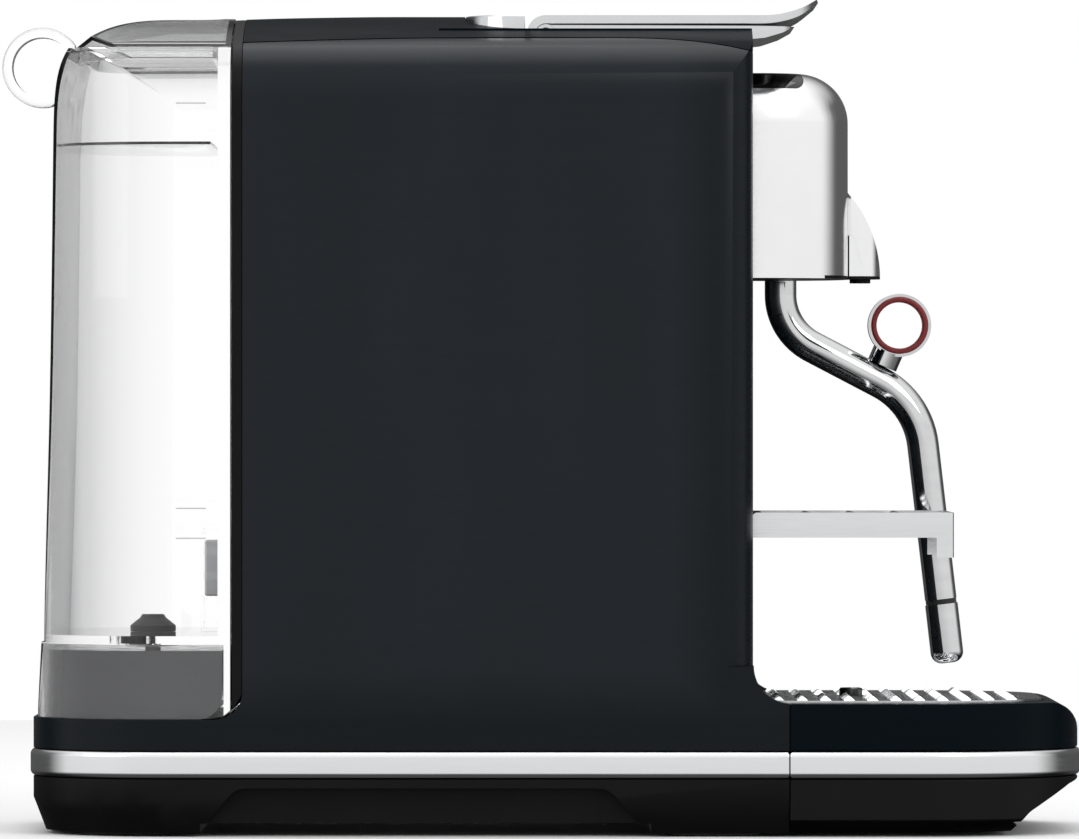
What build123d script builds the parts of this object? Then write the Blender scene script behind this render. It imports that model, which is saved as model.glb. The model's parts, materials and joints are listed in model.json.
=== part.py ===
"""Pod coffee machine with a steam wand, a lifting lever, a water tank and a drip tray.

Millimetres. +X is the front (drip tray side), +Z is up, and the origin is the middle of the
object's box, on the surface that it stands on.
"""
import os
from math import atan2, cos, degrees, radians, sin, sqrt

from build123d import *

# ---------------------------------------------------------------- driving dimensions
fit = 0.3            # clearance between pieces that move past each other
wall = 2.5           # wall of a moulded cover

# footprint of the base, seen from above
base_rear = -203.2
base_front = 216.5
base_half_width = 97.5
base_rear_radius = 55.0
base_front_radius = 66.0
cover_inset = 1.2    # the covers stand this far inside the band
tray_split = 98.7    # the drip tray is all that lies in front of this plane
split_gap = 0.15     # half of the gap at that plane

# heights of the base
foot_height = 1.2
band_bottom = 22.7
band_top = 33.7
deck_height = 46.0   # top of the plinth that carries the tank
tray_height = 52.3

# body cross-section
body_rear = -117.2
body_front = 84.5
body_top = 326.7
body_rear_top = 324.5
body_corner_radius = 16.0
crown_radius = 268.0
shoulder_radius = 24.0
body_half_width = base_half_width - cover_inset
shoulder_y = body_half_width - shoulder_radius
shoulder_z = body_top - crown_radius + sqrt((crown_radius - shoulder_radius) ** 2 - shoulder_y ** 2)
seam_gap = 0.4

# lever hinge
lever_pivot = (2.5, 318.0)           # (X, Z)
lever_top = 325.5
lever_half_width = 58.0
lever_thickness = 3.4
pocket_floor = 315.0
pocket_half_width = 59.0

# head
head_front = 124.0
head_half_width = 50.0
head_bottom = 221.0
head_top = 303.3
head_plan_radius = 37.5
head_top_radius = 20.0

# drip tray
pan_rear = 86.5
pan_front = 201.5
pan_radius = 50.0
pan_half_width = 82.5
grid_low = 50.2
grid_top = 53.2
grid_pitch = 9.3
notch_half_width = 6.6

pieces = {}


def keep(name, part):
    """Label a finished piece and remember it for export."""
    part.label = name
    pieces[name] = part


# ---------------------------------------------------------------- shared shapes
def plan(x_rear, x_front, half_width, rear_radius=0.0, front_radius=0.0):
    """Rectangle seen from above, rounded at its rear and front corners."""
    with BuildSketch(Plane.XY) as sketch:
        with Locations(((x_rear + x_front) / 2, 0)):
            Rectangle(x_front - x_rear, 2 * half_width)
        if rear_radius > 0:
            fillet(sketch.vertices().group_by(Axis.X)[0], rear_radius)
        if front_radius > 0:
            fillet(sketch.vertices().group_by(Axis.X)[-1], front_radius)
    return sketch.sketch


def footprint(inset=0.0):
    """Outline of the whole base, moved inwards by inset."""
    return plan(base_rear + inset, base_front - inset, base_half_width - inset,
                base_rear_radius - inset, base_front_radius - inset)


def block(x0, x1, y0, y1, z0, z1):
    """Plain box between two corners."""
    with BuildPart() as box:
        with Locations(((x0 + x1) / 2, (y0 + y1) / 2, (z0 + z1) / 2)):
            Box(x1 - x0, y1 - y0, z1 - z0)
    return box.part


def column(sketch, z0, z1):
    """Prism of a plan between two heights."""
    with BuildPart() as prism:
        with BuildSketch(Plane.XY.offset(z0)):
            add(sketch)
        extrude(amount=z1 - z0)
    return prism.part


def side_prism(points, y0, y1, radii=None):
    """Prism along Y whose outline in X and Z is a polygon, rounded where radii says."""
    with BuildPart() as prism:
        with BuildSketch(Plane.XZ.offset(-y1)) as sketch:
            with BuildLine():
                Polyline(points, close=True)
            make_face()
            for index, radius in (radii or {}).items():
                corner = sketch.vertices().sort_by_distance((points[index][0], points[index][1], 0))[0]
                fillet(corner, radius)
        extrude(amount=y1 - y0)
    return prism.part


def rod(start, end, radius):
    """Round bar between two points."""
    direction = Vector(*end) - Vector(*start)
    with BuildPart() as bar:
        with BuildSketch(Plane(origin=start, z_dir=direction)):
            Circle(radius)
        extrude(amount=direction.length)
    return bar.part


def rod_y(x, z, radius, y0, y1):
    """Round bar along Y."""
    return rod((x, y0, z), (x, y1, z), radius)


def pipe(points, radii, outer, inner=0.0):
    """Tube swept along straight runs joined by arcs."""
    with BuildPart() as tube:
        with BuildLine() as path:
            FilletPolyline(*points, radius=radii)
        with BuildSketch(Plane(origin=path.line @ 0, z_dir=path.line % 0)):
            Circle(outer)
            if inner > 0:
                Circle(inner, mode=Mode.SUBTRACT)
        sweep()
    return tube.part


def section(inset=0.0, floor=0.0):
    """Body cross-section, drawn flat as (Y, Z): upright sides, round shoulders and a low crown."""
    shoulder = shoulder_radius - inset
    side = shoulder_y + shoulder
    tilt = atan2(shoulder_y, shoulder_z - (body_top - crown_radius))
    half_tilt = (radians(90) + tilt) / 2
    join = (shoulder_y + shoulder * sin(tilt), shoulder_z + shoulder * cos(tilt))
    middle = (shoulder_y + shoulder * sin(half_tilt), shoulder_z + shoulder * cos(half_tilt))
    with BuildSketch() as sketch:
        with BuildLine():
            Line((-side, floor), (side, floor))
            Line((side, floor), (side, shoulder_z))
            ThreePointArc((side, shoulder_z), middle, join)
            ThreePointArc(join, (0, body_top - inset), (-join[0], join[1]))
            ThreePointArc((-join[0], join[1]), (-middle[0], middle[1]), (-side, shoulder_z))
            Line((-side, shoulder_z), (-side, floor))
        make_face()
    return sketch.sketch


def long_section(x0, x1, inset, floor):
    """The body's cross-section carried from x0 to x1."""
    with BuildPart() as bar:
        with BuildSketch(Plane.YZ.offset(x0)):
            add(section(inset, floor))
        extrude(amount=x1 - x0)
    return bar.part


def crown_line(inset=0.0):
    """Side outline of body and tank, drawn flat as (X, Z): the top rises gently from the rear."""
    low = 10.0
    with BuildSketch() as sketch:
        with BuildLine():
            Polyline((-40, body_top - inset), (body_front - inset, body_top - inset),
                     (body_front - inset, low), (base_rear, low), (base_rear, body_rear_top - inset - 4),
                     (body_rear - 8, body_rear_top - inset - 0.5))
            Spline((body_rear - 8, body_rear_top - inset - 0.5), (-80, 325.9 - inset),
                   (-40, body_top - inset), tangents=((1, 0.07), (1, 0)))
        make_face()
    return sketch.sketch


def body_envelope(inset=0.0, floor=band_top + 0.2):
    """Outer form of the covers: upright body, plinth behind it and toes in front of it."""
    rear_arc = 11.0
    toe_arc = 15.0
    toe_start = tray_height + toe_arc
    rear = body_rear + inset
    front = body_front - inset
    deck = deck_height - inset
    with BuildPart() as body:
        add(long_section(rear, front, inset, floor))
        with BuildSketch(Plane.XZ.offset(-120)):
            add(crown_line(inset))
        extrude(amount=240, mode=Mode.INTERSECT)
        add(column(plan(rear, front, body_half_width - inset, 0, body_corner_radius - inset), 0, 340),
            mode=Mode.INTERSECT)
    with BuildPart() as foot:
        add(column(footprint(cover_inset + inset), floor, floor + 60))
        with BuildSketch(Plane.XZ.offset(-120)):
            with BuildLine():
                Polyline((base_rear, floor), (base_rear, deck), (rear - rear_arc, deck))
                RadiusArc((rear - rear_arc, deck), (rear, deck + rear_arc), -rear_arc)
                Polyline((rear, deck + rear_arc), (front, toe_start))
                RadiusArc((front, toe_start), (front + toe_arc, tray_height - inset), -toe_arc)
                Polyline((front + toe_arc, tray_height - inset), (base_front, tray_height - inset),
                         (base_front, floor), (base_rear, floor))
            make_face()
        extrude(amount=240, mode=Mode.INTERSECT)
        split(bisect_by=Plane.YZ.offset(tray_split - split_gap), keep=Keep.BOTTOM)
    with BuildPart() as envelope:
        add(body)
        add(foot)
    return envelope.part


def above_seam(gap=0.0):
    """Space above the gently bowed seam between the side panels and the top cover."""
    with BuildPart() as space:
        with BuildSketch(Plane.XZ.offset(-120)):
            with BuildLine():
                Spline((-130, 313.3 + gap), (-60, 315.6 + gap), (20, 316 + gap), (60, 314.6 + gap), (90, 308.5 + gap))
                Polyline((90, 308.5 + gap), (90, 345), (-130, 345), (-130, 313.3 + gap))
            make_face()
        extrude(amount=240)
    return space.part


# ---------------------------------------------------------------- base
def make_base_pan():
    """Black tray under the body, with finger recesses and a raised rim inside the band."""
    recess = [(-136, -1), (-120, 19), (27, 19), (45, -1)]
    with BuildPart() as pan:
        add(column(footprint(cover_inset), foot_height, band_bottom - 0.2))
        chamfer(pan.edges().group_by(Axis.Z)[0], length=13, length2=5)
        add(column(footprint(3.4), band_bottom - 0.2, band_top - 0.2))
        add(column(footprint(16), 8, 40), mode=Mode.SUBTRACT)
        add(column(footprint(6), band_bottom, 40), mode=Mode.SUBTRACT)
        add(side_prism([(-134, -1), (-134, 5), (44, 5), (44, -1)], -120, 120), mode=Mode.SUBTRACT)
        for y0, y1 in ((-120, -86), (86, 120)):
            add(side_prism(recess, y0, y1, {1: 9, 2: 9}), mode=Mode.SUBTRACT)
        split(bisect_by=Plane.YZ.offset(tray_split - split_gap), keep=Keep.BOTTOM)
        add(block(tray_split - 4, tray_split - split_gap, -92, 92, foot_height + 4, 23))
    keep("base_pan", pan.part)


def make_feet():
    """Four rubber pads pressed into the underside."""
    spots = ((-165, -60), (-165, 60), (70, -74), (70, 74))
    with BuildPart() as feet:
        with BuildSketch(Plane.XY):
            with Locations(*spots):
                SlotOverall(34, 16)
        extrude(amount=foot_height)
    keep("rubber_feet", feet.part)


def band_ring():
    """Bowed strip round the base, standing proud of the covers."""
    with BuildPart() as ring:
        add(column(footprint(0), band_bottom, band_top))
        fillet(ring.edges().group_by(Axis.Z)[0], 2.4)
        fillet(ring.edges().group_by(Axis.Z)[-1], 2.4)
        add(column(footprint(3.3), band_bottom - 1, band_top + 1), mode=Mode.SUBTRACT)
    return ring.part


def make_base_band():
    with BuildPart() as band:
        add(band_ring())
        split(bisect_by=Plane.YZ.offset(tray_split - split_gap), keep=Keep.BOTTOM)
    keep("base_band", band.part)


# ---------------------------------------------------------------- body covers
cover_edge = 76.8            # the front panel ends here, in Y
bay_half_width = 47.6        # opening for the capsule container
bay_bottom = 64.0
bay_top = 203.0
plinth_edge = 44.8


def body_shell():
    """Thin shell of the whole body, open underneath."""
    with BuildPart() as shell:
        add(body_envelope())
        add(body_envelope(wall, 20), mode=Mode.SUBTRACT)
    return shell.part


def make_side_panels(shell):
    """Painted side panels, each with half of the plinth and one toe."""
    with BuildPart() as sides:
        add(shell)
        add(above_seam(-seam_gap), mode=Mode.SUBTRACT)
        add(block(body_front - wall - 1, 110, -cover_edge, cover_edge, 20, 330), mode=Mode.SUBTRACT)
        add(block(-210, body_rear, -plinth_edge, plinth_edge, 20, 70), mode=Mode.SUBTRACT)
        add(block(body_front + 1.4, 110, -pan_half_width - fit, pan_half_width + fit, 20, 70), mode=Mode.SUBTRACT)
        add(block(body_rear - 0.1, body_rear + wall, -88, 88, 34, 299), mode=Mode.SUBTRACT)
        add(block(body_rear - 0.1, body_rear + wall, -70, 70, 290, 330), mode=Mode.SUBTRACT)
        add(block(-110, body_front, -70, 70, 300, 330), mode=Mode.SUBTRACT)
    for name, keep_side in (("side_panel_left", Keep.BOTTOM), ("side_panel_right", Keep.TOP)):
        with BuildPart() as side:
            add(sides.part)
            split(bisect_by=Plane.ZX, keep=keep_side)
        keep(name, side.part)


def make_rear_plinth(shell):
    """Middle of the plinth behind the body, with the mains inlet hole."""
    with BuildPart() as plinth:
        add(shell)
        add(block(-210, body_rear - 0.2, -plinth_edge + 0.15, plinth_edge - 0.15, 20, 70),
            mode=Mode.INTERSECT)
        add(rod((-210, 30, 38.6), (-190, 30, 38.6), 3.3), mode=Mode.SUBTRACT)
    keep("rear_plinth", plinth.part)


def make_front_panel(shell):
    """Flat front of the body, open for the capsule container and the brew unit."""
    edge = cover_edge - 0.15
    with BuildPart() as panel:
        add(shell)
        add(above_seam(-seam_gap), mode=Mode.SUBTRACT)
        add(block(body_front - wall - 0.9, body_front + 0.1, -edge, edge, 54.5, 330), mode=Mode.INTERSECT)
        add(block(70, 90, -bay_half_width, bay_half_width, bay_bottom, bay_top), mode=Mode.SUBTRACT)
        add(block(70, 90, -40, 40, 232, 296), mode=Mode.SUBTRACT)
    keep("front_panel", panel.part)


def pivot_drum(radius, y0, y1):
    """Round bar on the lever's axis."""
    return rod_y(lever_pivot[0], lever_pivot[1], radius, y0, y1)


def make_top_cover():
    """Domed cover with a sunk pocket for the lever, a trough for its hinge and the capsule slot."""
    with BuildPart() as cover:
        add(body_envelope())
        add(above_seam(), mode=Mode.INTERSECT)
        add(block(-40, 60, -62, 62, 307, 320))
        add(column(plan(-30, 95, pocket_half_width, 24, 0), pocket_floor, 340), mode=Mode.SUBTRACT)
        add(pivot_drum(8.2, -pocket_half_width, pocket_half_width), mode=Mode.SUBTRACT)
        for half_width, height in ((66, 315.7), (50, 319), (34, 321.5)):
            add(block(-110, -44, -half_width, half_width, 300, height), mode=Mode.SUBTRACT)
        add(block(-44, -15, -58, 58, 300, pocket_floor - wall), mode=Mode.SUBTRACT)
        add(block(20, 75, -64, 64, 300, pocket_floor - wall), mode=Mode.SUBTRACT)
        for side in (-1, 1):
            add(block(-13.5, 17.5, 22 * side - 2.8, 22 * side + 2.8, 300, 322), mode=Mode.SUBTRACT)
            add(block(lever_pivot[0] - 2.9, lever_pivot[0] + 2.9, 33 * side - 3.3, 33 * side + 3.3, 300, 322),
                mode=Mode.SUBTRACT)
        add(column(plan(39, 75, 20.5, 6, 6), 300, 322), mode=Mode.SUBTRACT)
    keep("top_cover", cover.part)


def make_hinge_cap():
    """Chrome cap behind the lever, round at its rear."""
    with BuildPart() as cap:
        with BuildSketch(Plane.XY.offset(pocket_floor)):
            add(plan(-29.7, -5.9, 58.6, 23, 0))
        extrude(amount=lever_top - pocket_floor)
        fillet(cap.edges().group_by(Axis.Z)[-1].filter_by(lambda edge: edge.center().X < -7), 0.8)
        add(pivot_drum(8.2, -70, 70), mode=Mode.SUBTRACT)
    keep("hinge_cap", cap.part)


def make_rear_frame():
    """Black frame that closes the body behind the tank."""
    depth = 4.2
    with BuildPart() as frame:
        add(long_section(body_rear - depth, body_rear - 0.05, 0.3, deck_height + 0.1))
        with BuildSketch(Plane.XZ.offset(-120)):
            add(crown_line(0.1))
        extrude(amount=240, mode=Mode.INTERSECT)
        add(long_section(body_rear - depth + 2, body_rear + 1, 6, deck_height + 6), mode=Mode.SUBTRACT)
        add(side_prism([(body_rear - 12, 40), (body_rear - 12, 47), (body_rear - 3.2, 50.5), (body_rear + 1, 58),
                        (body_rear + 1, 40)], -120, 120), mode=Mode.SUBTRACT)
    keep("rear_frame", frame.part)


# ---------------------------------------------------------------- water tank
tank_front = -122.0
tank_floor = 79.0
tank_rim = 311.6
tank_inset = 0.3
tank_wall = 2.6
tank_plan_radius = 50.0
valve_x = -156.0
float_x = -131.7


def tank_form(inset, front, low, high, rear_points):
    """Upright form behind the body: its cross-section, cut to a rear outline and rounded in plan."""
    rear = min(x for x, z in rear_points)
    with BuildPart() as form:
        add(long_section(rear - 1, front, tank_inset + inset, deck_height - 2))
        with BuildSketch(Plane.XZ.offset(-120)):
            with BuildLine():
                outline = Spline(*rear_points)
                Polyline(outline @ 1, (front, high), (front, low), outline @ 0)
            make_face()
        extrude(amount=240, mode=Mode.INTERSECT)
        half_width = body_half_width - tank_inset - inset
        add(column(plan(rear, front, half_width, tank_plan_radius - inset, 0), low - 1, high + 1),
            mode=Mode.INTERSECT)
    return form.part


def make_water_tank():
    """Clear tank: main vessel, skirt under its floor, and the ring that it is lifted by."""
    outer = [(-197.6, tank_floor - 3), (-196.1, 125), (-194.7, 172), (-193.9, 215), (-193.4, 250), (-193, 280),
             (-192.3, 294), (-190.5, 303.5), (-186.6, tank_rim)]
    inner = [(-195.0, tank_floor), (-193.5, 125), (-192.1, 172), (-191.3, 215), (-190.8, 250), (-190.3, 280),
             (-189.6, 293), (-187.8, 302.5), (-184, tank_rim + 1)]
    skirt = [(-200.1, deck_height + 0.4), (-199.1, 61), (-198.1, tank_floor - 2.9)]
    hollow = [(-197.5, deck_height - 1), (-196.6, 61), (-195.6, tank_floor - 3.4)]
    ring_centre = (-200.4, 306.3)
    with BuildPart() as tank:
        add(tank_form(0, tank_front, tank_floor - 3, tank_rim, outer))
        add(tank_form(0, tank_front, deck_height + 0.4, tank_floor - 2.9, skirt))
        with BuildPart(mode=Mode.PRIVATE) as ring:
            add(rod_y(ring_centre[0], ring_centre[1], 16.1, -7, 7))
            fillet(ring.edges(), 2)
            add(rod_y(ring_centre[0], ring_centre[1], 12.1, -8, 8), mode=Mode.SUBTRACT)
            split(bisect_by=Plane.YZ.offset(-187.2), keep=Keep.BOTTOM)
        add(ring.part)
        add(tank_form(tank_wall, tank_front - 5, tank_floor, tank_rim + 1, inner), mode=Mode.SUBTRACT)
        add(tank_form(tank_wall, tank_front - 2.6, deck_height - 1, tank_floor - 3.4, hollow),
            mode=Mode.SUBTRACT)
        add(side_prism([(-129.5, 40), (-129.5, 46.5), (-125, 47.3), (-121, 50.5), (-121, 40)], -120, 120),
            mode=Mode.SUBTRACT)
        add(rod((valve_x, 0, 70), (valve_x, 0, 85), 4.4), mode=Mode.SUBTRACT)
    keep("water_tank", tank.part)


def make_tank_lid():
    """Clear lid that carries on the crown of the top cover and drops into the tank's mouth."""
    rim = tank_rim + 0.3
    outline = [(-185.4, rim), (-180.6, 314.6), (-174.5, 318.6), (-167.7, 321.7), (-148.3, 324.4), (-126, 325)]
    under = [(-182.4, rim - 1), (-178.9, 312.9), (-173.3, 316.6), (-167, 319.4), (-148.1, 322.2), (-128, 322.8)]
    mouth = [(-183.5, tank_rim - 5), (-183.4, tank_rim - 2), (-182.8, tank_rim + 1)]
    inside = [(-181.7, tank_rim - 6), (-181.6, tank_rim - 2), (-181.0, tank_rim + 1)]
    with BuildPart() as lid:
        add(tank_form(0, tank_front, rim, 325, outline))
        add(tank_form(2.2, tank_front - 2.2, rim - 1, 322.8, under), mode=Mode.SUBTRACT)
        add(tank_form(3.3, tank_front - 5.6, tank_rim - 5, rim + 0.6, mouth))
        add(tank_form(5.0, tank_front - 7.3, tank_rim - 6, rim + 1, inside), mode=Mode.SUBTRACT)
    keep("tank_lid", lid.part)


def make_tank_valve():
    """Rubber-headed poppet that closes the hole in the tank's floor."""
    with BuildPart() as valve:
        with BuildSketch(Plane.XZ):
            with BuildLine():
                Polyline((0, 73.6), (3.2, 73.6), (3.2, tank_floor + 0.1), (9.3, tank_floor + 0.1),
                         (9.3, 81.5), (5.4, 84.6), (4.4, 86), (0, 86), (0, 73.6))
            make_face()
        revolve(axis=Axis.Z)
    with BuildPart() as placed:
        with Locations((valve_x, 0, 0)):
            add(valve.part)
    keep("tank_valve", placed.part)


def make_float():
    """Grey float in a slotted cage on the tank's front wall."""
    x0 = tank_front - 5.1 - 9.3
    x1 = tank_front - 5.1
    with BuildPart() as cage:
        add(block(x0, x1, -7, 7, tank_floor + 0.05, 122))
        add(block(x0 + 1.1, x1 - 1.1, -5.8, 5.8, tank_floor + 1.2, 120.8), mode=Mode.SUBTRACT)
        for z in (83, 93, 103, 113):
            add(block(x0 + 2, x1 - 2, -10, 10, z, z + 7), mode=Mode.SUBTRACT)
            add(block(x0 - 2, x0 + 4, -4.2, 4.2, z, z + 7), mode=Mode.SUBTRACT)
    keep("float_cage", cage.part)
    with BuildPart() as body:
        add(block(x0 + 1.5, x1 - 1.5, -5.4, 5.4, 93.4, 116))
        fillet(body.edges(), 1)
    keep("level_float", body.part)


def make_pedestal():
    """Grey hollow pedestal inside the tank's skirt, with the valve socket in its top."""
    low = deck_height + 0.1
    top = 73.2
    outer = [(-196.6, low), (-195.7, 61), (-194.8, top)]
    inner = [(-194.1, low - 1), (-193.2, 61), (-192.3, top - wall)]
    with BuildPart() as pedestal:
        add(tank_form(3.4, -125.3, low, top, outer))
        add(side_prism([(-200, low), (-125.3, low), (-125.3, top), (-200, top)], -100, 100, {1: 9.7}),
            mode=Mode.INTERSECT)
        add(tank_form(3.4 + wall, -135.5, low - 1, top - wall, inner), mode=Mode.SUBTRACT)
        add(rod((valve_x, 0, 60), (valve_x, 0, 80), 11.2), mode=Mode.SUBTRACT)
    keep("tank_pedestal", pedestal.part)
    with BuildPart() as socket:
        add(rod((valve_x, 0, 58), (valve_x, 0, top), 11))
        add(rod((valve_x, 0, 62), (valve_x, 0, 80), 7), mode=Mode.SUBTRACT)
        add(rod((valve_x, 0, 50), (valve_x, 0, 80), 3), mode=Mode.SUBTRACT)
        add(rod((valve_x, 0, 48.5), (valve_x, 0, 58), 5))
        add(rod((valve_x, 0, 47), (valve_x, 0, 63), 3), mode=Mode.SUBTRACT)
    keep("valve_socket", socket.part)


# ---------------------------------------------------------------- head
head_wall = 2.5
beak_tip = 137.4
insert_rear = 84.8
insert_front = 105.5
insert_bottom = 296.9


def head_form(inset=0.0):
    """Upright form of the head, round in plan and over its top."""
    with BuildPart() as form:
        with BuildSketch(Plane.XY.offset(head_bottom)):
            add(plan(60, head_front - inset, head_half_width - inset, 0, head_plan_radius - inset))
        extrude(amount=head_top - inset - head_bottom)
        rim = form.edges().group_by(Axis.Z)[-1].filter_by(lambda edge: edge.center().X > 61)
        fillet(rim, head_top_radius - inset)
        split(bisect_by=Plane.YZ.offset(body_front + 0.1), keep=Keep.TOP)
    return form.part


def beak_form(inset=0.0):
    """Beak that swells out of the head's front: an arc in side view, a blunt wedge in plan."""
    top = 256.1
    nose = 12.0 - inset
    root = 27.0 - inset
    with BuildPart() as beak:
        with BuildSketch(Plane.XY.offset(head_bottom)):
            with BuildLine():
                Polyline((125.4, nose), (118, root), (100, root), (100, -root), (118, -root), (125.4, -nose))
                ThreePointArc((125.4, -nose), (125.4 + nose, 0), (125.4, nose))
            make_face()
        extrude(amount=top - head_bottom)
        with BuildSketch(Plane.XZ.offset(-60)):
            with BuildLine():
                ThreePointArc((head_front - 0.5 - inset, top), (133 - inset, 241.6), (beak_tip - inset, head_bottom))
                Polyline((beak_tip - inset, head_bottom), (90, head_bottom), (90, top + 6),
                         (head_front - 0.5 - inset, top))
            make_face()
        extrude(amount=120, mode=Mode.INTERSECT)
    return beak.part


def make_head():
    """Satin metal head with its beak, black underside and black insert in its top."""
    front_arch = [(118, 222), (131.3, 222), (125.6, 241), (120.5, 234)]
    with BuildPart() as head:
        add(head_form())
        add(beak_form())
        for side in (-1, 1):
            arch = side_prism(front_arch, min(side * 11, side * 40), max(side * 11, side * 40), {2: 2})
            outside = head_form(0)
            with BuildPart(mode=Mode.PRIVATE) as recess:
                add(arch)
                add(outside, mode=Mode.SUBTRACT)
            add(recess.part, mode=Mode.SUBTRACT)
        add(head_form(head_wall), mode=Mode.SUBTRACT)
        add(beak_form(head_wall), mode=Mode.SUBTRACT)
        add(block(114, 140, -60, 60, head_bottom - 1, head_bottom + 1.2), mode=Mode.SUBTRACT)
        add(insert_space(0.15), mode=Mode.SUBTRACT)
        for z in button_heights:
            add(rod((110, 0, z), (130, 0, z), button_radius + 0.3), mode=Mode.SUBTRACT)
    keep("head_shell", head.part)


def insert_space(gap=0.0):
    """Bar across the head's top with a round front edge."""
    middle = (insert_bottom + head_top) / 2
    radius = (head_top - insert_bottom) / 2 + gap
    with BuildPart() as space:
        add(block(insert_rear - 5, insert_front - radius + gap, -60, 60, insert_bottom - gap, head_top + 5))
        add(rod_y(insert_front - radius + gap, middle, radius, -60, 60))
    return space.part


def make_insert():
    """Glossy black window let into the head's top."""
    with BuildPart() as insert:
        add(insert_space())
        add(head_form(), mode=Mode.INTERSECT)
        add(block(80, 99, -30, 30, 290, 300.4), mode=Mode.SUBTRACT)
    keep("head_insert", insert.part)


button_heights = (275.5, 262.5)
button_radius = 5.4


def make_buttons():
    """Two round buttons in the front of the head, each on a stem."""
    for name, z in zip(("coffee_button", "steam_button"), button_heights):
        with BuildPart() as button:
            add(rod((117, 0, z), (head_front - 0.1, 0, z), button_radius))
            fillet(button.edges().group_by(Axis.X)[-1], 0.6)
            add(rod((119.2, 0, z), (121.3, 0, z), button_radius + 0.9))
            add(rod((112, 0, z), (117, 0, z), 2.5))
        keep(name, button.part)


def make_head_floor():
    """Black floor of the head and beak, the coffee duct on it, and the nozzle below."""
    with BuildPart() as floor:
        add(head_form())
        add(beak_form())
        add(block(114.2, 140, -60, 60, head_bottom - 1, head_bottom + 1.1), mode=Mode.INTERSECT)
        add(head_form(head_wall + 0.2))
        add(block(60, 140, -60, 60, head_bottom + 4, 310), mode=Mode.SUBTRACT)
        add(rod((129.3, 0, 200), (129.3, 0, 230), 4.05), mode=Mode.SUBTRACT)
        add(pipe([(94, 0, 251), (94, 0, 231), (108, 0, 226.8), (121, 0, 226.4)], [9, 9], 2.4))
        add(block(body_front - 3, body_front + 0.2, -60, 60, 200, 230), mode=Mode.SUBTRACT)
    keep("head_floor", floor.part)
    with BuildPart() as nozzle:
        add(rod((129.3, 0, 219.4), (129.3, 0, head_bottom - 0.05), 4.2))
        add(rod((129.3, 0, head_bottom - 0.05), (129.3, 0, 228), 4))
        add(rod((129.3, 0, 210), (129.3, 0, 240), 2), mode=Mode.SUBTRACT)
    keep("coffee_nozzle", nozzle.part)


# ---------------------------------------------------------------- lever and brew unit
lever_travel = 75.0                      # degrees
crank_radius = 25.0
crank_start = radians(lever_travel / 2)  # the crank swings equally behind and before the vertical
crank_pin = (lever_pivot[0] - crank_radius * sin(crank_start), lever_pivot[1] - crank_radius * cos(crank_start))
link_reach = 50.0
link_drop = 2.7
carriage_pin = (crank_pin[0] + link_reach, crank_pin[1] - link_drop)
carriage_travel = 2 * crank_radius * sin(crank_start)
brew_axis = 268.0
pod_face = 42.0


def make_lever():
    """Metal top of the lever with a turned-up tip, its underside shell, and the cranks."""
    x, z = lever_pivot
    outer = lever_top - z
    inner = outer - lever_thickness
    with BuildPart() as handle:
        with BuildSketch(Plane.XZ.offset(-lever_half_width)):
            with BuildLine():
                Line((x, lever_top), (88, lever_top))
                Spline((88, lever_top), (98, 326.6), (106, 329.4), (110.8, 332.4), tangents=((1, 0), (1, 0.75)))
                Line((110.8, 332.4), (111.4, 331))
                Spline((111.4, 331), (104, 325.6), (96, 322.9), (86, 322.1), tangents=((-1, -0.75), (-1, 0)))
                Line((86, 322.1), (x, 322.1))
                RadiusArc((x, 322.1), (x - inner, z), -inner)
                Line((x - inner, z), (x - outer, z))
                RadiusArc((x - outer, z), (x, lever_top), outer)
            make_face()
        extrude(amount=2 * lever_half_width)
        add(column(plan(-20, 112, lever_half_width, 0, 26), 300, 340), mode=Mode.INTERSECT)
        for side in (-1, 1):
            for middle, half in ((33, 3.5), (22, 2.3)):
                add(block(x - 9, x + 4.6, middle * side - half, middle * side + half, z - 1, z + 2),
                    mode=Mode.SUBTRACT)
    keep("lever_handle", handle.part)
    belly = [(x, 321.9), (102, 321.5), (97, 318.9), (90, 316.7), (84, 316.1), (x, 316.1)]
    with BuildPart() as underside:
        add(side_prism(belly, -50, 50, {3: 6}))
        add(column(plan(-20, 104, 50, 0, 22), 300, 340), mode=Mode.INTERSECT)
        add(block(12, 82, -45, 45, 310, 319.9), mode=Mode.SUBTRACT)
        add(pivot_drum(inner - 0.1, -56, 56))
        for middle in (-33, -22, 22, 33):
            half = 3.6 if abs(middle) > 30 else 2.2
            add(pivot_drum(inner + 3.5, middle - half, middle + half), mode=Mode.SUBTRACT)
        add(pivot_drum(2.56, -60, 60), mode=Mode.SUBTRACT)
    keep("lever_underside", underside.part)
    with BuildPart() as cranks:
        for side in (-1, 1):
            face = 22 * side
            with BuildSketch(Plane.XZ.offset(-face - 2)):
                add(slot_between((x, z), crank_pin, 3.9))
            extrude(amount=4)
        add(pivot_drum(2.56, -60, 60), mode=Mode.SUBTRACT)
        add(rod_y(crank_pin[0], crank_pin[1], 2.05, -60, 60), mode=Mode.SUBTRACT)
    keep("lever_cranks", cranks.part)


def slot_between(start, end, radius):
    """Flat bar with round ends at two points, drawn as (X, Z)."""
    span = Vector(end[0] - start[0], end[1] - start[1])
    middle = ((start[0] + end[0]) / 2, (start[1] + end[1]) / 2)
    angle = degrees(atan2(span.Y, span.X))
    with BuildSketch(mode=Mode.PRIVATE) as bar:
        with Locations(Location((middle[0], middle[1], 0), (0, 0, angle))):
            SlotCenterToCenter(span.length, 2 * radius)
    return bar.sketch


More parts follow.
